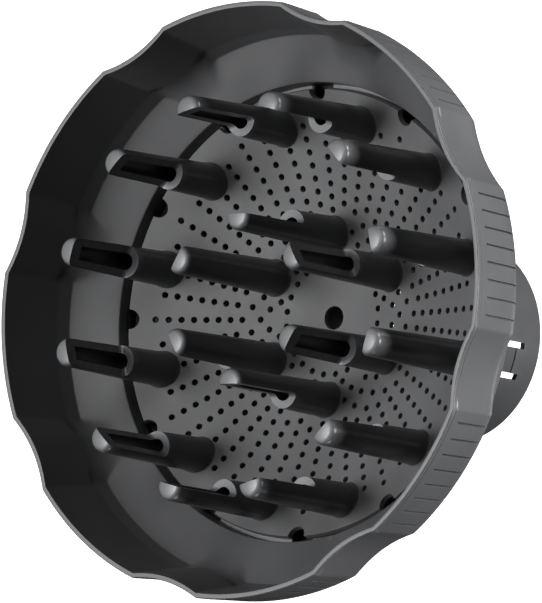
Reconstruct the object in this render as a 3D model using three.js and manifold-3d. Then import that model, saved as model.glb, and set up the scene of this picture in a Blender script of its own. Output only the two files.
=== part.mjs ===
// Hair dryer diffuser: a scalloped bowl on a short slotted neck, with a dished
// perforated plate that carries two rings of hollow fingers.
// Millimetres. +Z runs along the diffuser's axis from the neck to the mouth of the
// bowl; z = 0 is the rear face of the neck; +X passes through a scallop.
import * as THREE from 'three';
import { mergeGeometries, mergeVertices } from 'three/addons/utils/BufferGeometryUtils.js';
import Module from 'manifold-3d';

const wasm = await Module();
wasm.setup();

// ---- driving dimensions -------------------------------------------------------
const PLATE_Z = 67.7;            // height of the perforated plate's edge
const GAP = 0.3;                 // clearance between pieces that touch

const RIM_R = 80.4;              // outside of the rim on a lobe
const RIM_Z = PLATE_Z + 30.5;
const SCALLOPS = 8;
const SCALLOP_HALF = 8.07;       // half the angle that one scallop takes, degrees
const SCALLOP_DEPTH = 2.5;
const SCALLOP_STEPS = 4;         // facets across a scallop
const LOBE_STEPS = 4;            // facets across the lobe between two scallops

const GROOVES_PER_LOBE = 8;
const GROOVE_PITCH = 3.4;        // degrees
const GROOVE_WIDTH = 0.6;
const GROOVE_DEPTH = 0.5;
const GROOVE_TOP = PLATE_Z + 26.2;
const GROOVE_BOTTOM = PLATE_Z + 13.2;

const NECK_R = 27.75;
const NECK_BORE_R = 26.4;
const TABS = 4;
const TAB_HALF_WIDTH = 3.45;
const TAB_FOOT_Z = 10.1;         // where a tab grows out of the neck
const TAB_TIP_Z = 16.0;
const TAB_R = 27.35;             // the tabs sit a little below the neck's surface
const TAB_INNER_R = 26.2;
const CATCH_R = 25.4;            // the ridge that holds the dryer's barrel
const SLOT_WIDTH = 1.7;          // slot on each side of a tab
const SLOT_REAR_Z = 6.9;

const PLATE_R = 60.24;
const PLATE_THICKNESS = 1.7;
const DISH_R = 153.6;            // spherical radius of the dish
const DISH_RIM_R = 59.49;        // radius at which the dish is level with PLATE_Z
const CENTRE_HOLE_R = 3.16;
const NOTCHES = 12;
const NOTCH_R = 2.64;
const HOLE_R = 0.84;

const OUTER_FINGERS = { count: 12, first: 15, ring: 52.4, tip: 39.0, facing: 180 };
const INNER_FINGERS = { count: 6, first: 30, ring: 22.4, tip: 32.4, facing: 0 };
const FINGER_FOOT_R = 4.8;
const FINGER_TIP_R = 3.9;
const FINGER_BORE_R = 1.92;      // at the blind end near the tip
const FINGER_BORE_DRAFT = 0.021; // widening per millimetre towards the foot
const FINGER_SPIGOT_R = 4.0;     // passes through the plate
const FINGER_HOLE_R = 4.45;
const FINGER_SEAT = 0.5;         // shoulder's height above the curve of the dish
const FINGER_FLAT = 0.45;        // distance of the flat from the finger's own axis
const FLAT_LENGTH = 23.8;        // from the tip down to the step that ends the flat
const BORE_END = 3.45;           // solid length at the tip of a finger

// ---- materials ------------------------------------------------------------------
const plastic = (color, roughness) => new THREE.MeshStandardMaterial({ color, roughness, metalness: 0 });
const BOWL_GREY = 0x4b4c4e;
const NECK_GREY = 0x47484a;
const PLATE_GREY = 0x505153;
const FINGER_GREY = 0x3c3d3f;
const TAB_GREY = 0x424345;

// ---- small helpers ----------------------------------------------------------------
const rad = (degrees) => degrees * Math.PI / 180;

function solid(geometry) {
  const bare = new THREE.BufferGeometry();
  bare.setAttribute('position', geometry.getAttribute('position').clone());
  if (geometry.index) {
    bare.setIndex(geometry.index.clone());
  }
  const merged = mergeVertices(bare, 1e-4);
  const vertProperties = new Float32Array(merged.getAttribute('position').array);
  const triVerts = new Uint32Array(merged.index.array);
  return new wasm.Manifold(new wasm.Mesh({ numProp: 3, vertProperties, triVerts }));
}

function toMesh(name, body, material) {
  const raw = body.getMesh();
  const geometry = new THREE.BufferGeometry();
  geometry.setAttribute('position', new THREE.BufferAttribute(new Float32Array(raw.vertProperties), 3));
  geometry.setIndex(new THREE.BufferAttribute(new Uint32Array(raw.triVerts), 1));
  geometry.computeVertexNormals();
  const mesh = new THREE.Mesh(geometry, material);
  mesh.name = name;
  return mesh;
}

// Distance that the wall steps inwards at an angle: a round scallop between two corners.
function scallop(angle) {
  const pitch = 360 / SCALLOPS;
  const off = Math.abs(((angle + pitch / 2) % pitch + pitch) % pitch - pitch / 2);
  if (off >= SCALLOP_HALF) {
    return 0;
  }
  const half = RIM_R * Math.sin(rad(SCALLOP_HALF));
  const sag = SCALLOP_DEPTH - RIM_R * (1 - Math.cos(rad(SCALLOP_HALF)));
  const arc = (half * half + sag * sag) / (2 * sag);
  const x = RIM_R * Math.sin(rad(off));
  const y = RIM_R - SCALLOP_DEPTH + arc - Math.sqrt(arc * arc - x * x);
  return RIM_R - Math.hypot(x, y);
}

// Angles of the facets: fine across a scallop, coarser along a lobe.
function scallopedAngles() {
  const pitch = 360 / SCALLOPS;
  const lobe = pitch - 2 * SCALLOP_HALF;
  const angles = [];
  for (let s = 0; s < SCALLOPS; s++) {
    for (let i = 0; i < SCALLOP_STEPS; i++) {
      angles.push(s * pitch - SCALLOP_HALF + 2 * SCALLOP_HALF * i / SCALLOP_STEPS);
    }
    for (let i = 0; i < LOBE_STEPS; i++) {
      angles.push(s * pitch + SCALLOP_HALF + lobe * i / LOBE_STEPS);
    }
  }
  return angles;
}

const evenAngles = (count, first = 0) => Array.from({ length: count }, (_, i) => first + 360 * i / count);

// A ring turned from a closed outline of [radius, z, share of the scallop].
// The outline runs anticlockwise when radius is drawn to the right and z up.
function turnedRing(outline, angles) {
  const positions = [];
  const index = [];
  const n = outline.length;
  for (const angle of angles) {
    const dip = scallop(angle);
    for (const [radius, z, share = 0] of outline) {
      const r = radius - dip * share;
      positions.push(r * Math.cos(rad(angle)), r * Math.sin(rad(angle)), z);
    }
  }
  for (let i = 0; i < angles.length; i++) {
    const next = (i + 1) % angles.length;
    for (let j = 0; j < n; j++) {
      const up = (j + 1) % n;
      const a = i * n + j;
      const b = next * n + j;
      const c = next * n + up;
      const d = i * n + up;
      index.push(a, b, c, a, c, d);
    }
  }
  const geometry = new THREE.BufferGeometry();
  geometry.setAttribute('position', new THREE.Float32BufferAttribute(positions, 3));
  geometry.setIndex(index);
  return solid(geometry);
}

// A prism with its axis along Z.
function prism(radius, z0, z1, sides, x = 0, y = 0, turn = 0) {
  const geometry = new THREE.CylinderGeometry(radius, radius, z1 - z0, sides);
  geometry.rotateX(Math.PI / 2);
  geometry.rotateZ(rad(turn));
  geometry.translate(x, y, (z0 + z1) / 2);
  return geometry;
}

const tabAngle = (t) => 45 + 360 * t / TABS;

// ---- bowl: rim, scalloped wall, floor ring and the ledge under the plate -------------
const ROLL_R = 9.1;              // rounding between the wall and the skirt below it
const ROLL_Z = PLATE_Z + 15.6;
const ROLL_CENTRE_R = 70.35;
const SKIRT_Z = PLATE_Z - 3.7;   // lower edge of the bowl
const LEDGE_R = 62.0;            // outside of the ledge that the plate rests on
const LEDGE_DROP = 2.55;         // the ledge's top face, below the plate's edge
const LEDGE_GAP_HALF = 3.3;

function onRoll(degrees) {
  return [ROLL_CENTRE_R + ROLL_R * Math.cos(rad(degrees)), ROLL_Z - ROLL_R * Math.sin(rad(degrees))];
}

function bowl() {
  const z = PLATE_Z;
  const outline = [
    [64.1, SKIRT_Z],
    [66.0, SKIRT_Z],
    [...onRoll(40), 0.9],
    [...onRoll(20), 0.97],
    [...onRoll(0), 1],
    [RIM_R, RIM_Z - 1.7, 1],
    [RIM_R - 0.5, RIM_Z - 1.35, 1],
    [RIM_R, RIM_Z - 1.0, 1],
    [RIM_R - 0.15, RIM_Z, 1],
    [78.95, RIM_Z, 1],
    [75.4, z + 12.8, 1],
    [74.9, z + 10.4, 0.85],
    [73.8, z + 8.4, 0.6],
    [69.5, z + 6.15, 0.2],
    [LEDGE_R, z + 2.2],
    [LEDGE_R, z - LEDGE_DROP],
    [57.4, z - LEDGE_DROP],
    [57.4, z - 4.0],
    [60.6, z - 4.0],
    [61.4, z - 5.25],
    [62.6, z - 4.3],
    [64.2, z + 1.6],
    [71.0, z + 5.1, 0.2],
  ];
  return turnedRing(outline, scallopedAngles()).subtract(gripGrooves()).subtract(ledgeGaps());
}

// The ledge stops at every notch of the plate, so that air can pass.
function ledgeGaps() {
  const gaps = evenAngles(NOTCHES).map((angle) => {
    const gap = new THREE.BoxGeometry(6, 2 * LEDGE_GAP_HALF, 5);
    gap.translate(LEDGE_R - 3, 0, PLATE_Z - LEDGE_DROP - 1.4);
    gap.rotateZ(rad(angle));
    return gap.toNonIndexed();
  });
  return solid(mergeGeometries(gaps));
}

// ---- neck cone: the back of the diffuser, down to the slotted neck --------------------
function neckCone() {
  const top = SKIRT_Z - GAP;
  const foot = PLATE_Z - 37.7;
  const outline = [
    [NECK_BORE_R, 0],
    [NECK_R, 0],
    [NECK_R, foot - 3.0],
    [NECK_R + 1.2, foot],
    [65.7, top],
    [63.4, top],
    [NECK_BORE_R + 1.2, foot + 0.9],
    [NECK_BORE_R, foot - 2.1],
  ];
  let cone = turnedRing(outline, evenAngles(48));
  for (let t = 0; t < TABS; t++) {
    cone = cone.subtract(tabWindow().rotate([0, 0, tabAngle(t)]));
  }
  return cone;
}

// Narrow V grooves down the outside of every lobe.
function gripGrooves() {
  const drop = (GROOVE_TOP - GROOVE_BOTTOM) / 2;
  const low = onRoll(20)[0];
  const lean = Math.atan2(RIM_R - 0.2 - low, 2 * drop);
  const cutters = [];
  for (let s = 0; s < SCALLOPS; s++) {
    for (let g = 0; g < GROOVES_PER_LOBE; g++) {
      const angle = (s + 0.5) * 360 / SCALLOPS + (g - (GROOVES_PER_LOBE - 1) / 2) * GROOVE_PITCH;
      const outline = new THREE.Shape();
      outline.moveTo(-GROOVE_DEPTH, 0);
      outline.lineTo(1.2, -GROOVE_WIDTH * 1.2);
      outline.lineTo(1.2, GROOVE_WIDTH * 1.2);
      const cutter = new THREE.ExtrudeGeometry(outline, { depth: 2 * drop, bevelEnabled: false });
      cutter.translate(0, 0, -drop);
      cutter.rotateY(lean);
      cutter.translate((RIM_R - 0.3 + low) / 2 + 0.2, 0, (GROOVE_TOP + GROOVE_BOTTOM) / 2);
      cutter.rotateZ(rad(angle));
      cutters.push(cutter.index ? cutter.toNonIndexed() : cutter);
    }
  }
  return solid(mergeGeometries(cutters));
}

// The opening around one tab: the gap at its tip and the two slots beside it.
function tabWindow() {
  const side = TAB_HALF_WIDTH + SLOT_WIDTH;
  const foot = TAB_FOOT_Z - GAP / 2;
  const tip = TAB_TIP_Z + 1.5;
  const outline = new THREE.Shape();
  outline.moveTo(-side, SLOT_REAR_Z);
  outline.lineTo(-TAB_HALF_WIDTH, SLOT_REAR_Z);
  outline.lineTo(-TAB_HALF_WIDTH, foot);
  outline.lineTo(TAB_HALF_WIDTH, foot);
  outline.lineTo(TAB_HALF_WIDTH, SLOT_REAR_Z);
  outline.lineTo(side, SLOT_REAR_Z);
  outline.lineTo(side, tip);
  outline.lineTo(-side, tip);
  const cutter = new THREE.ExtrudeGeometry(outline, { depth: 12, bevelEnabled: false });
  cutter.rotateX(Math.PI / 2);
  cutter.rotateZ(Math.PI / 2);
  cutter.translate(20, 0, 0);
  return solid(cutter);
}

// ---- snap tab: a sprung tongue with a catch ridge on its inside ----------------------
function snapTab() {
  const outline = [
    [TAB_INNER_R, TAB_FOOT_Z + GAP / 2],
    [TAB_R, TAB_FOOT_Z + GAP / 2],
    [TAB_R, TAB_TIP_Z],
    [TAB_INNER_R, TAB_TIP_Z],
    [CATCH_R, TAB_TIP_Z - 0.9],
    [CATCH_R, TAB_TIP_Z - 1.7],
    [TAB_INNER_R, TAB_TIP_Z - 4.0],
  ];
  const ring = turnedRing(outline, evenAngles(48));
  const block = new THREE.BoxGeometry(12, 2 * TAB_HALF_WIDTH, 40);
  block.translate(NECK_R, 0, 15);
  return ring.intersect(solid(block));
}

// ---- perforated plate -------------------------------------------------------------------
const dishZ = (r) => PLATE_Z + Math.sqrt(DISH_R ** 2 - DISH_RIM_R ** 2) - Math.sqrt(DISH_R ** 2 - r ** 2);
const dishSlope = (r) => Math.asin(r / DISH_R) * 180 / Math.PI;

// Rings of small holes as [radius, angles]. The inner rings leave room for the six inner
// fingers and the outer ones for the twelve outer fingers.
function holeRings() {
  const around = (count, first) => evenAngles(count, first);
  const pairs = (spread) => evenAngles(6).flatMap((a) => [a - spread, a + spread]);
  const rings = [
    [15.42, around(24, 7.5)],
    [17.96, around(12, 15)],
    [20.78, pairs(7.5)],
    [23.43, [...around(6, 0), ...pairs(15)]],
    [26.21, pairs(7.5)],
  ];
  const first = 28.93;
  const pitch = 1.731;
  for (let i = 0; i < 12; i++) {
    rings.push([first + i * pitch, around(24, i % 2 ? 7.5 : 0)]);
  }
  rings.push([49.74, around(12, 0)], [51.36, around(24, 7.5)], [53.26, around(12, 0)]);
  return rings;
}

function perforatedPlate() {
  const bands = [CENTRE_HOLE_R, 16.6, 27.6, 36.7, 45.4, PLATE_R];
  const top = bands.map((r) => [r, dishZ(r)]);
  const bottom = bands.map((r) => [r, dishZ(r) - PLATE_THICKNESS]);
  const plate = turnedRing([...bottom, ...top.reverse()], evenAngles(24, 3.75));
  const low = PLATE_Z - 20;
  const high = PLATE_Z + 5;
  const cutters = [];
  for (const [ring, angles] of holeRings()) {
    for (const angle of angles) {
      const x = ring * Math.cos(rad(angle));
      const y = ring * Math.sin(rad(angle));
      cutters.push(prism(HOLE_R * 1.25, low, high, 4, x, y, angle));
    }
  }
  for (const angle of evenAngles(NOTCHES)) {
    const x = PLATE_R * Math.cos(rad(angle));
    const y = PLATE_R * Math.sin(rad(angle));
    cutters.push(prism(NOTCH_R, low, high, 8, x, y, angle));
  }
  for (const set of [OUTER_FINGERS, INNER_FINGERS]) {
    for (const angle of evenAngles(set.count, set.first)) {
      const x = set.ring * Math.cos(rad(angle));
      const y = set.ring * Math.sin(rad(angle));
      cutters.push(prism(FINGER_HOLE_R, low, high, 10, x, y, angle));
    }
  }
  return plate.subtract(solid(mergeGeometries(cutters.map((c) => c.toNonIndexed()))));
}

// ---- fingers ------------------------------------------------------------------------------
// One finger on its own axis, z measured from the plate's surface, its flat facing +X.
function finger(length, tilt) {
  const taper = (z) => FINGER_FOOT_R + (FINGER_TIP_R - FINGER_FOOT_R) * z / length;
  const profile = [
    [0, -3],
    [taper(-3), -3],
    [taper(length - 1.0), length - 1.0],
    [taper(length) - 0.8, length - 0.1],
    [0, length + 0.2],
  ];
  const turned = new THREE.LatheGeometry(profile.map(([r, z]) => new THREE.Vector2(r, z)), 12);
  turned.rotateX(Math.PI / 2);
  turned.rotateZ(rad(15));
  const foot = [Math.sin(rad(tilt)), 0, Math.cos(rad(tilt))];
  const stem = solid(turned).trimByPlane(foot, FINGER_SEAT);
  const spigot = solid(prism(FINGER_SPIGOT_R, -2.6, 2.5, 10, 0, 0, 18));
  const half = new THREE.BoxGeometry(8, 12, FLAT_LENGTH + 2);
  half.translate(FINGER_FLAT + 4, 0, length - FLAT_LENGTH / 2 + 1);
  return stem.add(spigot).subtract(fingerBore(length)).subtract(solid(half));
}

// The tapered bore, open at the foot and blind at the tip.
function fingerBore(length) {
  const depth = length - BORE_END + 4;
  const foot = FINGER_BORE_R + FINGER_BORE_DRAFT * depth;
  const bore = new THREE.CylinderGeometry(FINGER_BORE_R, foot, depth, 10);
  bore.rotateX(Math.PI / 2);
  bore.rotateZ(rad(18));
  bore.translate(0, 0, depth / 2 - 4);
  return solid(bore);
}

// A ring of fingers standing on the dish, each on an arm of its own about the axis.
function fingerRing(set, label) {
  const foot = dishZ(set.ring);
  const tilt = dishSlope(set.ring) * (set.facing ? 1 : -1);
  const body = finger(PLATE_Z + set.tip - foot, tilt);
  const digits = String(set.count).length;
  const ring = new THREE.Group();
  for (const [i, angle] of evenAngles(set.count, set.first).entries()) {
    const name = `${label}_${String(i + 1).padStart(digits, '0')}`;
    const mesh = toMesh(name, body, plastic(FINGER_GREY, 0.5));
    mesh.position.set(set.ring, 0, foot);
    mesh.rotation.z = rad(set.facing);
    const arm = new THREE.Group();
    arm.rotation.z = rad(angle);
    arm.add(mesh);
    ring.add(arm);
  }
  return ring;
}

// ---- the whole diffuser ----------------------------------------------------------------------
const diffuser = new THREE.Group();
diffuser.name = 'dryer_diffuser';
diffuser.add(toMesh('bowl', bowl(), plastic(BOWL_GREY, 0.5)));
diffuser.add(toMesh('neck_cone', neckCone(), plastic(NECK_GREY, 0.5)));
diffuser.add(toMesh('perforated_plate', perforatedPlate(), plastic(PLATE_GREY, 0.45)));
diffuser.add(fingerRing(OUTER_FINGERS, 'outer_finger'));
diffuser.add(fingerRing(INNER_FINGERS, 'inner_finger'));
const tabBody = snapTab();
for (let t = 0; t < TABS; t++) {
  const tab = toMesh(`snap_tab_${t + 1}`, tabBody, plastic(TAB_GREY, 0.5));
  tab.rotation.z = rad(tabAngle(t));
  diffuser.add(tab);
}

export default diffuser;
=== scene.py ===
"""Looks for the dryer diffuser: fine surfaces, plastics, studio light and the camera."""
import math

import bmesh
import bpy
import numpy as np
from mathutils import Matrix, Vector
from mathutils.geometry import delaunay_2d_cdt


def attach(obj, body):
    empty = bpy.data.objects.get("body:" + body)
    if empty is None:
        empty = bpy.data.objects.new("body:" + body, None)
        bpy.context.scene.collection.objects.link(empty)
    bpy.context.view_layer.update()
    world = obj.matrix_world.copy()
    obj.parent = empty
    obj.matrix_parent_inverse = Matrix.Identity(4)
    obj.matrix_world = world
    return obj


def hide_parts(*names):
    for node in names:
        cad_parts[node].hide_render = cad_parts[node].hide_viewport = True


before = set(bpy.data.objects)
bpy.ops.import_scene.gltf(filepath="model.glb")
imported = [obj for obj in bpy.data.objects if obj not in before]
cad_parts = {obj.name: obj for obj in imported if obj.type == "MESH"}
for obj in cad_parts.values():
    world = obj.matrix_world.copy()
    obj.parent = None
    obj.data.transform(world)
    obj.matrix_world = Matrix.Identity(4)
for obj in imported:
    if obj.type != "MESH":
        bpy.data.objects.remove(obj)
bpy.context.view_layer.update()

MM = 0.001

# ---- dimensions of the frame, in millimetres -----------------------------------------
PLATE_Z = 67.7
RIM_R = 80.4
RIM_Z = PLATE_Z + 30.5
SCALLOPS = 8
SCALLOP_HALF = 8.07
SCALLOP_DEPTH = 2.5
GROOVES_PER_LOBE = 8
GROOVE_PITCH = 3.4
GROOVE_TOP = PLATE_Z + 26.2
GROOVE_BOTTOM = PLATE_Z + 10.6
GROOVE_DEPTH = 0.70
GROOVE_STEPS = (-0.42, -0.23, -0.14, 0.0, 0.14, 0.23, 0.42)  # degrees from a groove's middle
ROLL_R, ROLL_Z, ROLL_CENTRE_R = 9.1, PLATE_Z + 15.6, 70.35  # the round foot of the wall
SKIRT_Z = PLATE_Z - 3.7
LIP_LINE_DEPTH = 0.16
LIP_IN_R = 79.15
WALL_FOOT = (75.35, PLATE_Z + 12.4)  # top of the cove inside the wall
COVE_FOOT = (74.1, PLATE_Z + 8.56)
FLOOR_IN = (66.0, PLATE_Z + 4.31)  # inner edge of the sloping floor ring
LEDGE_R, LEDGE_DROP, LEDGE_GAP_HALF = 62.0, 2.55, 3.3
PLATE_R, PLATE_THICK = 60.24, 1.7
DISH_R, DISH_RIM_R = 153.6, 59.49  # radius of the dish, and where it is level with PLATE_Z
HOLE_R, CENTRE_HOLE_R, NOTCH_R = 0.84, 3.16, 2.64
NOTCHES = 12
SPIGOT_R, SPIGOT_HOLE_R = 4.0, 4.3
HOLE_EDGE = 0.09  # rounding of the edges of the holes
MESH_STEP = 1.9  # spacing of the points between the holes
OUTER = dict(count=12, first=15, ring=52.4, tip=39.0, facing=180, label="outer_finger_%02d")
INNER = dict(count=6, first=30, ring=22.4, tip=32.4, facing=0, label="inner_finger_%d")
FOOT_R, TIP_R, TIP_EDGE, TIP_RISE = 4.8, 3.9, 1.6, 0.25
BORE_R, BORE_DRAFT, BORE_END = 1.92, 0.021, 3.45
FLAT, FLAT_LENGTH, STEP_FILLET = 0.45, 23.8, 1.3
NECK_R, NECK_BORE_R, NECK_TOP = 27.75, 26.4, PLATE_Z - 37.7
TABS, TAB_FIRST = 4, 45
TAB_HALF, TAB_FOOT, TAB_TIP = 3.45, 10.1, 16.0
SLOT_REAR, SLOT_WIDTH, SLOT_REACH = 6.9, 1.7, 1.5
TAB_R, TAB_INNER_R, CATCH_R = 27.45, 26.2, 25.4
FOOT_GAP = 0.03  # half of the parting between a tab and the neck


def rad(degrees):
    return degrees * math.pi / 180


# ---- mesh helpers --------------------------------------------------------------------
def new_object(name, verts, faces, sharp=32):
    mesh = bpy.data.meshes.new(name)
    mesh.from_pydata([tuple(v) for v in verts], [], [tuple(f) for f in faces])
    mesh.validate()
    bm = bmesh.new()
    bm.from_mesh(mesh)
    bmesh.ops.recalc_face_normals(bm, faces=bm.faces)
    bm.to_mesh(mesh)
    bm.free()
    mesh.shade_smooth()
    mesh.set_sharp_from_angle(angle=rad(sharp))
    obj = bpy.data.objects.new(name, mesh)
    bpy.context.scene.collection.objects.link(obj)
    return obj


def apply_modifiers(obj):
    graph = bpy.context.evaluated_depsgraph_get()
    baked = bpy.data.meshes.new_from_object(obj.evaluated_get(graph))
    obj.modifiers.clear()
    obj.data = baked


def cut(obj, cutter, operation="DIFFERENCE"):
    mod = obj.modifiers.new("cut", "BOOLEAN")
    mod.operation = operation
    mod.solver = "EXACT"
    mod.object = cutter
    bpy.context.view_layer.update()
    apply_modifiers(obj)
    bpy.data.objects.remove(cutter)


def join(parts):
    mesh = bmesh.new()
    for part in parts:
        mesh.from_mesh(part.data)
    mesh.to_mesh(parts[0].data)
    mesh.free()
    for part in parts[1:]:
        bpy.data.objects.remove(part)
    return parts[0]


def soften(obj, width, segments=2, angle=35):
    mod = obj.modifiers.new("edge", "BEVEL")
    mod.width = width * MM
    mod.segments = segments
    mod.limit_method = "ANGLE"
    mod.angle_limit = rad(angle)
    mod.use_clamp_overlap = True
    mod.harden_normals = True
    apply_modifiers(obj)


def ring_mesh(name, section, angles, sharp=32):
    """A closed ring; section(angle) gives its outline as (radius, z) points."""
    n = len(angles)
    verts = []
    for a in angles:
        c, s = math.cos(rad(a)), math.sin(rad(a))
        outline = section(a)
        verts += [(r * c * MM, r * s * MM, z * MM) for r, z in outline]
    m = len(outline)
    faces = []
    for i in range(n):
        k = (i + 1) % n
        for j in range(m):
            u = (j + 1) % m
            faces.append((i * m + j, k * m + j, k * m + u, i * m + u))
    return new_object(name, verts, faces, sharp)


def line(a, b, steps):
    size = range(len(a))
    return [tuple(a[i] + (b[i] - a[i]) * k / steps for i in size) for k in range(steps + 1)]


def bend(a, p, b, steps):
    """Points on a smooth bend from a to b that heads for p."""
    out = []
    for k in range(steps + 1):
        t = k / steps
        shares = ((1 - t) ** 2, 2 * t * (1 - t), t * t)
        out.append(tuple(shares[0] * a[q] + shares[1] * p[q] + shares[2] * b[q] for q in range(2)))
    return out


def rounded(points, cuts, steps=5):
    """A polyline with its inner corners rounded; cuts gives how far back each arc starts."""
    out = []
    for i, p in enumerate(points):
        if not cuts[i]:
            out.append(p)
            continue
        a = towards(p, points[i - 1], cuts[i])
        b = towards(p, points[(i + 1) % len(points)], cuts[i])
        out += bend(a, p, b, steps)
    return out


def towards(p, q, distance):
    span = math.hypot(q[0] - p[0], q[1] - p[1])
    f = min(distance / span, 0.49)
    return tuple(p[i] + (q[i] - p[i]) * f for i in range(2))


def spread(points, step):
    """The same open polyline with points no further apart than step."""
    out = [points[0]]
    for a, b in zip(points, points[1:]):
        count = max(1, math.ceil(math.hypot(b[0] - a[0], b[1] - a[1]) / step - 0.01))
        out += line(a, b, count)[1:]
    return out


# ---- bowl ----------------------------------------------------------------------------
def scallop(angle):
    off = abs((angle + 22.5) % 45 - 22.5)
    if off >= SCALLOP_HALF:
        return 0.0
    half = RIM_R * math.sin(rad(SCALLOP_HALF))
    sag = SCALLOP_DEPTH - RIM_R * (1 - math.cos(rad(SCALLOP_HALF)))
    arc = (half * half + sag * sag) / (2 * sag)
    x = RIM_R * math.sin(rad(off))
    y = RIM_R - SCALLOP_DEPTH + arc - math.sqrt(arc * arc - x * x)
    return RIM_R - math.hypot(x, y)


def groove_angles():
    mid = (GROOVES_PER_LOBE - 1) / 2
    grooves = [(g - mid) * GROOVE_PITCH for g in range(GROOVES_PER_LOBE)]
    return [(s + 0.5) * 45 + g for s in range(SCALLOPS) for g in grooves]


def bowl_angles():
    found = []
    for s in range(SCALLOPS):
        found += [s * 45 + SCALLOP_HALF * k / 12 for k in range(-12, 13)]
        found += [s * 45 + 22.5 + k * 1.2 for k in range(-11, 12)]
        found += [s * 45 + side * (SCALLOP_HALF + 0.25) for side in (-1, 1)]
    for a in groove_angles():
        found = [f for f in found if abs((f - a + 180) % 360 - 180) > 0.62]
        found += [a + w for w in GROOVE_STEPS]
    return sorted(round(f % 360, 5) for f in found)


def groove_depth(off, z):
    """Depth of a grip groove where it is off degrees from its middle."""
    if off is None or abs(off) > 0.2:
        return 0.0
    top = min(max((GROOVE_TOP - z) / 0.35, 0), 1)
    low = min(max((z - GROOVE_BOTTOM) / 1.2, 0), 1)
    return GROOVE_DEPTH * top * low


def on_roll(degrees):
    turn = rad(degrees)
    return (ROLL_CENTRE_R + ROLL_R * math.cos(turn), ROLL_Z - ROLL_R * math.sin(turn))


def outer_wall():
    """Skirt, roll and wall, from the bottom up, as (radius, z, share of the scallop)."""
    z = SKIRT_Z
    points = [(64.1, z, 0), (65.75, z, 0), (65.93, z + 0.08, 0), (66.05, z + 0.3, 0)]
    points += line(points[-1], (*on_roll(40), 0.9), 10)[1:]
    points += [(*on_roll(40 - 2 * k), 0.9 + 0.1 * k / 20) for k in range(1, 21)]
    foot, top = points[-1], (RIM_R, RIM_Z - 1.6, 1)
    levels = [foot[1] + k for k in range(1, 13)]
    levels = [v for v in levels if abs(v - GROOVE_TOP) > 0.5 and v < RIM_Z - 2]
    levels += [GROOVE_TOP + 0.03, GROOVE_TOP - 0.35]
    for v in sorted(levels):
        t = (v - foot[1]) / (top[1] - foot[1])
        points.append((foot[0] + (top[0] - foot[0]) * t, v, 1))
    points += [(RIM_R, RIM_Z - 1.62, 1), (RIM_R - 0.10, RIM_Z - 1.50, 1)]
    points += [(RIM_R - LIP_LINE_DEPTH, RIM_Z - 1.40, 1)]
    points += [(RIM_R - 0.10, RIM_Z - 1.28, 1), (RIM_R, RIM_Z - 1.14, 1)]
    points += [(RIM_R - 0.35 + 0.3 * math.cos(rad(a)), RIM_Z - 0.3 + 0.3 * math.sin(rad(a)), 1)
               for a in range(0, 91, 15)]
    return points


def make_bowl():
    z = PLATE_Z
    outside = outer_wall()
    lookup = {round((a + w) % 360, 5): w for a in groove_angles() for w in GROOVE_STEPS}
    lip = [
        (LIP_IN_R - 0.2 * math.sin(rad(a)), RIM_Z - 0.2 + 0.2 * math.cos(rad(a)))
        for a in range(0, 91, 15)
    ]
    wall = line(lip[-1], WALL_FOOT, 14)
    crisp = rounded([wall[-2], WALL_FOOT, COVE_FOOT, FLOOR_IN], [0, 1.3, 0.25, 0])[1:-1]
    crisp = crisp[:6] + line(crisp[5], crisp[6], 3)[1:3] + crisp[6:]
    crisp += line(crisp[-1], FLOOR_IN, 5)[1:]
    steps = len(crisp) - 1
    back = [
        (LEDGE_R, z + 2.2), (LEDGE_R, z - LEDGE_DROP), (57.4, z - LEDGE_DROP), (57.4, z - 4.0),
        (60.6, z - 4.0), (61.4, z - 5.35), (62.6, z - 4.4), (64.2, z + 1.6), (71.0, z + 5.1),
        (64.1, SKIRT_Z),
    ]
    back = rounded([FLOOR_IN] + back, [0, 0.3, 0.15, 0.15, 0.15, 0.1, 0.1, 0.1, 0.4, 0.4, 0])
    back = spread(back, 1.6)[1:-1]
    wall_lean = (lip[-1][0] - WALL_FOOT[0]) / (lip[-1][1] - WALL_FOOT[1])
    floor_slope = (COVE_FOOT[1] - FLOOR_IN[1]) / (COVE_FOOT[0] - FLOOR_IN[0])

    def soft_corner(dip):
        """The same corner where the wall bulges in: one smooth fillet."""
        def on_wall(height):
            t = (height - WALL_FOOT[1]) / (lip[-1][1] - WALL_FOOT[1])
            return WALL_FOOT[0] + (lip[-1][0] - WALL_FOOT[0]) * t - dip
        rise = FLOOR_IN[1] - z - floor_slope * FLOOR_IN[0]
        r = (on_wall(z) + wall_lean * rise) / (1 - wall_lean * floor_slope)
        meet = (r, FLOOR_IN[1] + floor_slope * (r - FLOOR_IN[0]))
        return bend((on_wall(z + 13.0), z + 13.0), meet, FLOOR_IN, steps)

    def section(angle):
        dip = scallop(angle)
        off = lookup.get(round(angle % 360, 5))
        points = [(r - dip * share - groove_depth(off, h), h) for r, h, share in outside]
        points += [(r - dip, h) for r, h in lip + wall[1:-1]]
        blend = min(1.0, dip / 1.9)
        blend = blend * blend * (3 - 2 * blend)
        for hard, soft in zip(crisp, soft_corner(dip)):
            points.append(tuple(hard[q] * (1 - blend) + soft[q] * blend for q in range(2)))
        return points + back

    bowl = ring_mesh("bowl_fine", section, bowl_angles(), sharp=42)
    gaps = []
    half, low, high = LEDGE_GAP_HALF, z - 6, z - 1.5
    for a in even(NOTCHES):
        gap = extrude_x([(-half, low), (half, low), (half, high), (-half, high)], 55, LEDGE_R)
        gap.data.transform(Matrix.Rotation(rad(a), 4, "Z"))
        gaps.append(gap)
    cut(bowl, join(gaps))
    return bowl


# ---- perforated plate ----------------------------------------------------------------
def dish(r):
    return PLATE_Z + math.sqrt(DISH_R ** 2 - DISH_RIM_R ** 2) - math.sqrt(DISH_R ** 2 - r * r)


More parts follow.
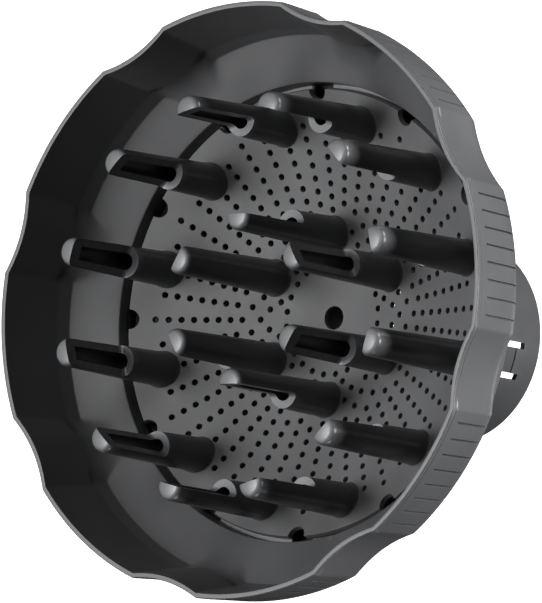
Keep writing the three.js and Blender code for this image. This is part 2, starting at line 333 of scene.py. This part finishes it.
def even(count, first=0.0):
    return [first + 360 * i / count for i in range(count)]


def polar(r, angle):
    return (r * math.cos(rad(angle)), r * math.sin(rad(angle)))


def hole_rings():
    def pairs(apart):
        return [a + s for a in even(6) for s in (-apart, apart)]
    rings = [
        (15.42, even(24, 7.5)), (17.96, even(12, 15)), (20.78, pairs(7.5)),
        (23.43, even(6) + pairs(15)), (26.21, pairs(7.5)),
    ]
    rings += [(28.93 + 1.731 * i, even(24, 7.5 if i % 2 else 0)) for i in range(12)]
    rings += [(49.74, even(12)), (51.36, even(24, 7.5)), (53.26, even(12))]
    return rings


def below_dish(x, y, depth):
    """The point that lies depth below the dish, square to it."""
    r = math.hypot(x, y)
    out = 1 + depth / DISH_R
    down = depth * math.sqrt(1 - (r / DISH_R) ** 2)
    return (x * out * MM, y * out * MM, (dish(r) - down) * MM)


def inside(points, outline):
    """True for each point that lies in the closed outline."""
    found = np.zeros(len(points), bool)
    x, y = points.T
    for (x0, y0), (x1, y1) in zip(outline, np.roll(outline, -1, axis=0)):
        if y0 != y1:
            crosses = (y0 > y) != (y1 > y)
            found ^= crosses & (x < x0 + (x1 - x0) * (y - y0) / (y1 - y0))
    return found


def make_plate():
    """The dish with round holes: triangulated flat, then laid on the sphere and thickened."""
    holes = [(CENTRE_HOLE_R, 0.0, 0.0, 48)]
    for ring, angles in hole_rings():
        holes += [(HOLE_R, *polar(ring, a), 20) for a in angles]
    for f in (OUTER, INNER):
        for a in even(f["count"], f["first"]):
            holes.append((SPIGOT_HOLE_R, *polar(f["ring"], a), 40))
    verts, edges, loops = [], [], []

    def add_loop(points):
        start = len(verts)
        verts.extend(Vector(p) for p in points)
        n = len(points)
        edges.extend((start + i, start + (i + 1) % n) for i in range(n))
        loops.append((start, n))

    for r, x, y, n in holes:
        circle = [polar(r + HOLE_EDGE, a) for a in even(n)]
        add_loop([(x + dx, y + dy) for dx, dy in circle])
    rim = rim_outline(PLATE_R - HOLE_EDGE, NOTCH_R + HOLE_EDGE)
    add_loop(rim)
    centres = np.array([(x, y) for _, x, y, _ in holes])
    radii = np.array([r for r, _, _, _ in holes]) + 0.55
    for i, r in enumerate(np.arange(4.4, PLATE_R - 0.8, MESH_STEP)):
        count = max(8, int(2 * math.pi * r / MESH_STEP))
        for k in range(count):
            a = 2 * math.pi * (k + 0.5 * (i % 2)) / count
            p = np.array([r * math.cos(a), r * math.sin(a)])
            if (np.hypot(*(centres - p).T) < radii).any():
                continue
            off = abs((math.degrees(a) + 15) % 30 - 15)
            if r > PLATE_R - 4.2 and off < 4:
                continue
            verts.append(Vector(p))
    points, _, tris, origin, _, _ = delaunay_2d_cdt(verts, edges, [], 0, 1e-7)
    xy = np.array([tuple(p) for p in points])
    back = {}
    for new, olds in enumerate(origin):
        for o in olds:
            back[o] = new
    owner = np.full(len(xy), -1)
    for index, (start, n) in enumerate(loops[:-1]):
        owner[[back[start + k] for k in range(n)]] = index
    tri = np.array(tris)
    of = owner[tri]
    in_hole = (of[:, 0] >= 0) & (of[:, 0] == of[:, 1]) & (of[:, 0] == of[:, 2])
    tri = tri[~in_hole & inside(xy[tri].mean(axis=1), np.array(rim))]
    count = len(xy)
    height = np.array([dish(math.hypot(x, y)) for x, y in xy])
    verts3 = [(x * MM, y * MM, h * MM) for (x, y), h in zip(xy, height)]
    verts3 += [below_dish(x, y, PLATE_THICK) for x, y in xy]
    faces = [tuple(t) for t in tri] + [tuple(t[::-1] + count) for t in tri]
    for index, (start, n) in enumerate(loops):
        ids = [back[start + k] for k in range(n)]
        centre = None if index == len(loops) - 1 else np.array(holes[index][1:3])
        top, low = [], []
        for k, i in enumerate(ids):
            p = xy[i]
            if centre is not None:
                d = p - centre
                q = p - d / np.hypot(*d) * HOLE_EDGE
            else:
                a, b = xy[ids[k - 1]], xy[ids[(k + 1) % n]]
                t = (b - a) / np.hypot(*(b - a))
                q = p + np.array([t[1], -t[0]]) * HOLE_EDGE
            top.append(len(verts3))
            verts3.append(below_dish(q[0], q[1], HOLE_EDGE))
            low.append(len(verts3))
            verts3.append(below_dish(q[0], q[1], PLATE_THICK - HOLE_EDGE))
        for k in range(n):
            j = (k + 1) % n
            faces.append((ids[k], ids[j], top[j], top[k]))
            faces.append((top[k], top[j], low[j], low[k]))
            faces.append((low[k], low[j], ids[j] + count, ids[k] + count))
    return new_object("plate_fine", verts3, faces, sharp=30)


def rim_outline(radius, notch):
    """The plate's edge: a circle with twelve half-round notches, anticlockwise."""
    points = []
    reach = 2 * math.degrees(math.asin(notch / 2 / radius))
    lead = math.degrees(math.acos(notch / 2 / radius))
    for a0 in even(NOTCHES):
        cx, cy = polar(radius, a0)
        for i in range(13):
            dx, dy = polar(notch, a0 - 180 + lead - 2 * lead * i / 12)
            points.append((cx + dx, cy + dy))
        for i in range(1, 12):
            points.append(polar(radius, a0 + reach + (30 - 2 * reach) * i / 12))
    return points


# ---- fingers -------------------------------------------------------------------------
def make_finger(f, name):
    """A finger on its own axis with its flat facing +X; z is measured from the dish."""
    foot = dish(f["ring"])
    length = PLATE_Z + f["tip"] - foot
    lean = math.tan(math.asin(f["ring"] / DISH_R)) * (-1 if f["facing"] else 1)
    sides = 96
    edge, tip, top = TIP_EDGE, TIP_R, length + TIP_RISE

    def taper(z):
        return FOOT_R + (TIP_R - FOOT_R) * z / length

    levels = [(taper(z) + 0.35 * math.exp(-z / 0.35), z) for z in (0.0, 0.25, 0.6, 1.2)]
    levels += [(taper(z), z) for z in np.linspace(2.5, top - edge, 22)]
    levels += [(tip - edge + edge * math.cos(rad(a)), top - edge + edge * math.sin(rad(a)))
               for a in range(8, 81, 8)]
    crown = tip - edge + 0.25
    for k in (5, 4, 3, 2, 1, 0.3):
        levels.append((crown * k / 6, top - 0.02 + 0.16 * (1 - (k / 6) ** 2)))
    verts, faces = [], []
    for r, z in levels:
        for k in range(sides):
            a = 2 * math.pi * (k + 0.5) / sides
            x, y = r * math.cos(a), r * math.sin(a)
            grip = max(0.0, 1 - z / 6.0)
            verts.append((x * MM, y * MM, (z + (lean * x + 0.03) * grip) * MM))
    n = len(levels)
    for i in range(n - 1):
        for k in range(sides):
            j = (k + 1) % sides
            faces.append((i * sides + k, i * sides + j, (i + 1) * sides + j, (i + 1) * sides + k))
    faces.append(tuple(range(sides - 1, -1, -1)))
    faces.append(tuple((n - 1) * sides + k for k in range(sides)))
    body = new_object(name, verts, faces, sharp=50)
    cut(body, prism_z(SPIGOT_R, SPIGOT_R, -2.6, 2.0, 64), "UNION")
    end = length - BORE_END
    cut(body, prism_z(BORE_R + BORE_DRAFT * (end + 4), BORE_R, -4.0, end, 64))
    step, fillet = length - FLAT_LENGTH, STEP_FILLET
    notch = [(FLAT, length + 3), (FLAT, step + fillet)]
    for a in range(10, 91, 10):
        dx, dz = polar(fillet, a)
        notch.append((FLAT + fillet - dx, step + fillet - dz))
    cutter = extrude_x(notch + [(12, step), (12, length + 3)], -9, 9)
    cutter.data.transform(Matrix.Rotation(rad(-90), 4, "Z"))
    cut(body, cutter)
    soften(body, 0.14, angle=40)
    return body, foot


def prism_z(r0, r1, z0, z1, sides):
    """A round cutter along Z, of radius r0 at z0 and r1 at z1."""
    verts, faces = [], []
    for r, z in ((r0, z0), (r1, z1)):
        for k in range(sides):
            a = 2 * math.pi * k / sides
            verts.append((r * math.cos(a) * MM, r * math.sin(a) * MM, z * MM))
    for k in range(sides):
        j = (k + 1) % sides
        faces.append((k, j, sides + j, sides + k))
    faces.append(tuple(range(sides - 1, -1, -1)))
    faces.append(tuple(range(sides, 2 * sides)))
    return new_object("cutter", verts, faces)


def extrude_x(outline, x0, x1):
    """A cutter along X from an outline of (y, z) points."""
    n = len(outline)
    verts = [(x * MM, y * MM, z * MM) for x in (x0, x1) for y, z in outline]
    faces = [(k, (k + 1) % n, n + (k + 1) % n, n + k) for k in range(n)]
    faces += [tuple(range(n - 1, -1, -1)), tuple(range(n, 2 * n))]
    return new_object("cutter", verts, faces)


# ---- neck and tabs -------------------------------------------------------------------
def make_neck():
    top, foot = SKIRT_Z - 0.3, NECK_TOP
    corners = [
        (NECK_BORE_R, 0), (NECK_R, 0), (NECK_R, foot - 1.6), (65.7, top), (63.4, top),
        (NECK_BORE_R, foot - 0.8),
    ]
    outline = rounded(corners, [0.2, 0.35, 4.0, 0.3, 0.2, 4.0], 6)
    outline = spread(outline + outline[:1], 3.5)[:-1]
    neck = ring_mesh("neck_fine", lambda a: outline, even(192), sharp=40)
    side, base, tip = TAB_HALF + SLOT_WIDTH, TAB_FOOT - FOOT_GAP, TAB_TIP + SLOT_REACH
    for angle in even(TABS, TAB_FIRST):
        window = [
            (-side, SLOT_REAR), (-TAB_HALF, SLOT_REAR), (-TAB_HALF, base), (TAB_HALF, base),
            (TAB_HALF, SLOT_REAR), (side, SLOT_REAR), (side, tip), (-side, tip),
        ]
        cutter = extrude_x(window, 20, 32)
        cutter.data.transform(Matrix.Rotation(rad(angle), 4, "Z"))
        cut(neck, cutter)
    soften(neck, 0.05)
    return neck


def make_tab(number, angle):
    base = TAB_FOOT + FOOT_GAP
    outline = [
        (TAB_INNER_R, base), (TAB_R, base), (TAB_R, TAB_TIP), (TAB_INNER_R, TAB_TIP),
        (CATCH_R, TAB_TIP - 0.9), (CATCH_R, TAB_TIP - 1.7), (TAB_INNER_R, TAB_TIP - 4.0),
    ]
    across = np.linspace(-1, 1, 13)
    verts, faces = [], []
    m = len(outline)
    for a in across:
        for r, z in outline:
            y = a * TAB_HALF
            x = math.sqrt(r * r - y * y)
            verts.append((x * MM, y * MM, z * MM))
    for i in range(len(across) - 1):
        for j in range(m):
            u = (j + 1) % m
            faces.append((i * m + j, (i + 1) * m + j, (i + 1) * m + u, i * m + u))
    faces += [tuple(range(m - 1, -1, -1)), tuple((len(across) - 1) * m + j for j in range(m))]
    tab = new_object(f"tab_fine_{number}", verts, faces, sharp=30)
    soften(tab, 0.05)
    tab.data.transform(Matrix.Rotation(rad(angle), 4, "Z"))
    return tab


# ---- plastics ------------------------------------------------------------------------
def plastic(name, colour, rough, grain=2600.0, bump=0.10, wear_and_highlight_gain=1.25, patch=0.10, painted_highlight_z=None):
    """Moulded plastic: fine spark-eroded grain, faint random tone drift, paler worn edges, and
    faces that look up painted paler as a painted highlight.

    painted_highlight_z gives the range of the face normal's z, from and to, over which faces that
    look up are painted paler: a painted highlight where the lamps fall on tops.
    """
    mat = bpy.data.materials.new(name)
    mat.use_nodes = True
    tree = mat.node_tree
    nodes, links = tree.nodes, tree.links
    nodes.clear()
    out = nodes.new("ShaderNodeOutputMaterial")
    shader = nodes.new("ShaderNodeBsdfPrincipled")
    links.new(shader.outputs[0], out.inputs[0])
    shader.inputs["Metallic"].default_value = 0.0
    shader.inputs["IOR"].default_value = 1.46
    shader.inputs["Specular IOR Level"].default_value = 0.5
    where = nodes.new("ShaderNodeTexCoord")

    def noise(scale, detail, roughness):
        node = nodes.new("ShaderNodeTexNoise")
        node.inputs["Scale"].default_value = scale
        node.inputs["Detail"].default_value = detail
        node.inputs["Roughness"].default_value = roughness
        links.new(where.outputs["Object"], node.inputs["Vector"])
        return node

    drift = noise(38.0, 3.0, 0.55)
    shade = nodes.new("ShaderNodeValToRGB")
    shade.color_ramp.elements[0].position = 0.30
    shade.color_ramp.elements[1].position = 0.72
    shade.color_ramp.elements[0].color = [c * (1 - patch) for c in colour] + [1]
    shade.color_ramp.elements[1].color = [c * (1 + patch) for c in colour] + [1]
    links.new(drift.outputs["Fac"], shade.inputs["Fac"])

    geometry = nodes.new("ShaderNodeNewGeometry")
    edge = nodes.new("ShaderNodeMapRange")
    edge.inputs["From Min"].default_value = 0.52
    edge.inputs["From Max"].default_value = 0.62
    links.new(geometry.outputs["Pointiness"], edge.inputs["Value"])
    scuff = noise(420.0, 4.0, 0.7)
    chip = nodes.new("ShaderNodeMath")
    chip.operation = "MULTIPLY"
    links.new(edge.outputs[0], chip.inputs[0])
    links.new(scuff.outputs["Fac"], chip.inputs[1])
    wear_plus_painted_highlight = chip
    # Faces that look up are painted paler here as a painted highlight; the larger of it and the
    # edge wear is taken.
    if painted_highlight_z:
        facing = nodes.new("ShaderNodeSeparateXYZ")
        links.new(geometry.outputs["Normal"], facing.inputs[0])
        painted_highlight = nodes.new("ShaderNodeMapRange")
        painted_highlight.inputs["From Min"].default_value = painted_highlight_z[0]
        painted_highlight.inputs["From Max"].default_value = painted_highlight_z[1]
        links.new(facing.outputs[2], painted_highlight.inputs["Value"])
        wear_plus_painted_highlight = nodes.new("ShaderNodeMath")
        wear_plus_painted_highlight.operation = "MAXIMUM"
        links.new(chip.outputs[0], wear_plus_painted_highlight.inputs[0])
        links.new(painted_highlight.outputs[0], wear_plus_painted_highlight.inputs[1])
    # The pale colour mixed in below serves both the worn edges and the painted highlight on faces
    # that look up.
    wear_and_highlight_mix = nodes.new("ShaderNodeMix")
    wear_and_highlight_mix.data_type = "RGBA"
    links.new(wear_plus_painted_highlight.outputs[0], wear_and_highlight_mix.inputs["Factor"])
    links.new(shade.outputs["Color"], wear_and_highlight_mix.inputs[6])
    wear_and_highlight_mix.inputs[7].default_value = [c * wear_and_highlight_gain for c in colour] + [1]
    links.new(wear_and_highlight_mix.outputs[2], shader.inputs["Base Color"])

    gloss = noise(160.0, 4.0, 0.6)
    polish = nodes.new("ShaderNodeMapRange")
    polish.inputs["To Min"].default_value = rough - 0.05
    polish.inputs["To Max"].default_value = rough + 0.07
    links.new(gloss.outputs["Fac"], polish.inputs["Value"])
    links.new(polish.outputs[0], shader.inputs["Roughness"])

    fine = noise(grain, 2.0, 0.5)
    relief = nodes.new("ShaderNodeBump")
    relief.inputs["Strength"].default_value = bump
    relief.inputs["Distance"].default_value = 0.00012
    links.new(fine.outputs["Fac"], relief.inputs["Height"])
    links.new(relief.outputs[0], shader.inputs["Normal"])
    return mat


MATERIALS = {
    # Bowl: the flat tops of the rim lip get a painted highlight from the z range given last.
    "bowl_plastic": plastic(
        "bowl_plastic", (0.078, 0.079, 0.082), 0.40, wear_and_highlight_gain=1.7, painted_highlight_z=(0.93, 0.99)),
    # The neck's grey is the bowl's at about seven tenths: a darker copy that paints in shade on the
    # neck.
    "neck_plastic": plastic("neck_plastic", (0.0546, 0.0555, 0.0575), 0.40),
    "plate_plastic": plastic("plate_plastic", (0.092, 0.093, 0.096), 0.58, grain=3200.0, bump=0.16),
    # Fingers: the tips and their rounding get a painted highlight from the z range given last.
    "finger_plastic": plastic(
        "finger_plastic", (0.060, 0.061, 0.064), 0.34, bump=0.07, wear_and_highlight_gain=2.6, painted_highlight_z=(0.55, 0.95)),
    "tab_plastic": plastic("tab_plastic", (0.048, 0.049, 0.051), 0.42),
}


def dress(obj, slot):
    obj.data.materials.clear()
    obj.data.materials.append(MATERIALS[slot])


def place(obj, node, body, slot):
    dress(obj, slot)
    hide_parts(node)
    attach(obj, body)


for node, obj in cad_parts.items():
    kind = {"bowl": "bowl", "neck_cone": "neck", "perforated_plate": "plate"}.get(node)
    kind = kind or ("finger" if "finger" in node else "tab")
    dress(obj, kind + "_plastic")

place(make_bowl(), "bowl", "diffuser", "bowl_plastic")
place(make_plate(), "perforated_plate", "diffuser", "plate_plastic")
place(make_neck(), "neck_cone", "diffuser", "neck_plastic")
for number, angle in enumerate(even(TABS, TAB_FIRST), 1):
    place(make_tab(number, angle), f"snap_tab_{number}", f"tab_{number}", "tab_plastic")

for f in (OUTER, INNER):
    first, foot = make_finger(f, f["label"] % 1 + "_fine")
    for i, angle in enumerate(even(f["count"], f["first"])):
        node = f["label"] % (i + 1)
        piece = first if i == 0 else bpy.data.objects.new(node + "_fine", first.data)
        if i:
            bpy.context.scene.collection.objects.link(piece)
        around = Matrix.Rotation(rad(angle), 4, "Z")
        out = Matrix.Translation((f["ring"] * MM, 0, foot * MM))
        piece.matrix_world = around @ out @ Matrix.Rotation(rad(f["facing"]), 4, "Z")
        place(piece, node, "diffuser", "finger_plastic")

# ---- floor, light and camera ---------------------------------------------------------
VIEW_TO = Vector((-0.4000, -0.4723, 0.7855)).normalized()
VIEW_RIGHT = Vector((-0.3556, -0.7099, -0.6079)).normalized()
VIEW_UP = VIEW_TO.cross(VIEW_RIGHT)
CAMERA_AWAY, CAMERA_LENS = 5.3585, 1194.0
AIM_LEFT, AIM_UP = 0.009656, 0.003032


LEVEL_RIGHT = Vector((VIEW_RIGHT.x, VIEW_RIGHT.y, 0)).normalized()
LEVEL_UP = Vector((VIEW_UP.x, VIEW_UP.y, 0)).normalized()


def leaning(lean, turn):
    """A direction lean degrees off the axis; turn is 0 at the viewer's right, 90 at the top."""
    level = (LEVEL_RIGHT * math.cos(rad(turn)) + LEVEL_UP * math.sin(rad(turn))).normalized()
    return (Vector((0, 0, 1)) * math.cos(rad(lean)) + level * math.sin(rad(lean))).normalized()


def make_floor():
    verts = [(x, y, -0.12) for x, y in ((-30, -30), (30, -30), (30, 30), (-30, 30))]
    floor = new_object("floor", verts, [(0, 1, 2, 3)])
    mat = bpy.data.materials.new("pale_floor")
    mat.use_nodes = True
    shader = mat.node_tree.nodes["Principled BSDF"]
    shader.inputs["Base Color"].default_value = (0.9, 0.9, 0.9, 1)
    shader.inputs["Roughness"].default_value = 0.9
    shader.inputs["Emission Color"].default_value = (1, 1, 1, 1)
    shader.inputs["Emission Strength"].default_value = 0.9
    floor.data.materials.append(mat)
    floor.visible_diffuse = False
    floor.visible_glossy = False
    floor.visible_shadow = False


def softbox(name, direction, distance, size, power):
    """A round soft lamp that faces the plate's middle."""
    data = bpy.data.lights.new(name, "AREA")
    data.shape = "DISK"
    data.size = size
    data.energy = power
    lamp = bpy.data.objects.new(name, data)
    lamp.location = Vector((0, 0, PLATE_Z * MM)) + direction * distance
    lamp.rotation_mode = "QUATERNION"
    lamp.rotation_quaternion = direction.to_track_quat("Z", "Y")
    lamp.visible_camera = False
    bpy.context.scene.collection.objects.link(lamp)


make_floor()
softbox("over_left", leaning(20, 180), 1.5, 0.6, 19.5)
softbox("over_right", leaning(20, 60), 1.5, 0.6, 4.8)
softbox("front_left", leaning(45, 225), 1.5, 0.6, 3.2)
softbox("side_right", leaning(100, 0), 1.5, 0.35, 29.2)
softbox("side_low", leaning(100, 280), 1.5, 0.35, 8.0)
softbox("side_top", leaning(100, 40), 1.5, 0.35, 22.0)
softbox("through_the_neck", leaning(180, 0), 1.5, 0.35, 0.8)

world = bpy.data.worlds.new("studio")
bpy.context.scene.world = world
world.use_nodes = True
world.node_tree.nodes["Background"].inputs[0].default_value = (1, 1, 1, 1)
world.node_tree.nodes["Background"].inputs[1].default_value = 1.0
world.cycles_visibility.diffuse = False
world.cycles_visibility.glossy = False

camera_data = bpy.data.cameras.new("camera")
camera = bpy.data.objects.new("camera", camera_data)
bpy.context.scene.collection.objects.link(camera)
camera_data.sensor_width = 36.0
camera_data.lens = CAMERA_LENS
camera_data.clip_start, camera_data.clip_end = 0.1, 60.0
camera.rotation_mode = "QUATERNION"
basis = Matrix((VIEW_RIGHT, VIEW_UP, VIEW_TO)).transposed()
camera.rotation_quaternion = basis.to_quaternion()
aim = Vector((0, 0, PLATE_Z * MM)) - VIEW_RIGHT * AIM_LEFT + VIEW_UP * AIM_UP
camera.location = aim + VIEW_TO * CAMERA_AWAY
bpy.context.scene.camera = camera
bpy.context.scene.view_settings.view_transform = "Standard"
